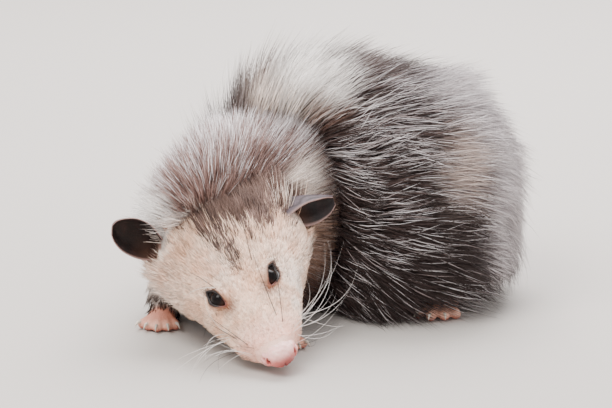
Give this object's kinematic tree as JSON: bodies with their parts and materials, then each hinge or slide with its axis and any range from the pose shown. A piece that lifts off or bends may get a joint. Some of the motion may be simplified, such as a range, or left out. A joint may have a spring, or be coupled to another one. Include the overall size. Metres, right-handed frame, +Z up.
{
  "type": "opossum model",
  "caption": "Life-size still model of a Virginia opossum, crouched and curled to its left with the head lowered and the bare tail laid round behind.",
  "frame": {"origin": "middle of the model's footprint, on the floor it rests on", "axes": "+Z up, nose towards -Y, rump towards +X"},
  "size_m": [0.263, 0.279, 0.168],
  "materials": {
    "coat": "long dark fur with pale guard hairs",
    "face": "short cream fur",
    "ear": "thin bare skin, satin",
    "nose": "moist bare skin",
    "eye": "polished, opaque",
    "paw": "bare skin, satin",
    "tail": "scaly bare skin, satin"
  },
  "bodies": {
    "root": {"head": "face", "nose": "nose", "ear_left": "ear", "ear_right": "ear", "eye_left": "eye", "eye_right": "eye", "neck": "coat", "torso": "coat", "rump": "coat", "foreleg_left": "paw", "foreleg_right": "paw", "hindleg_left": "paw", "hindleg_right": "paw", "tail_base": "tail", "tail_middle": "tail", "tail_tip": "tail"}
  },
  "joints": []
}
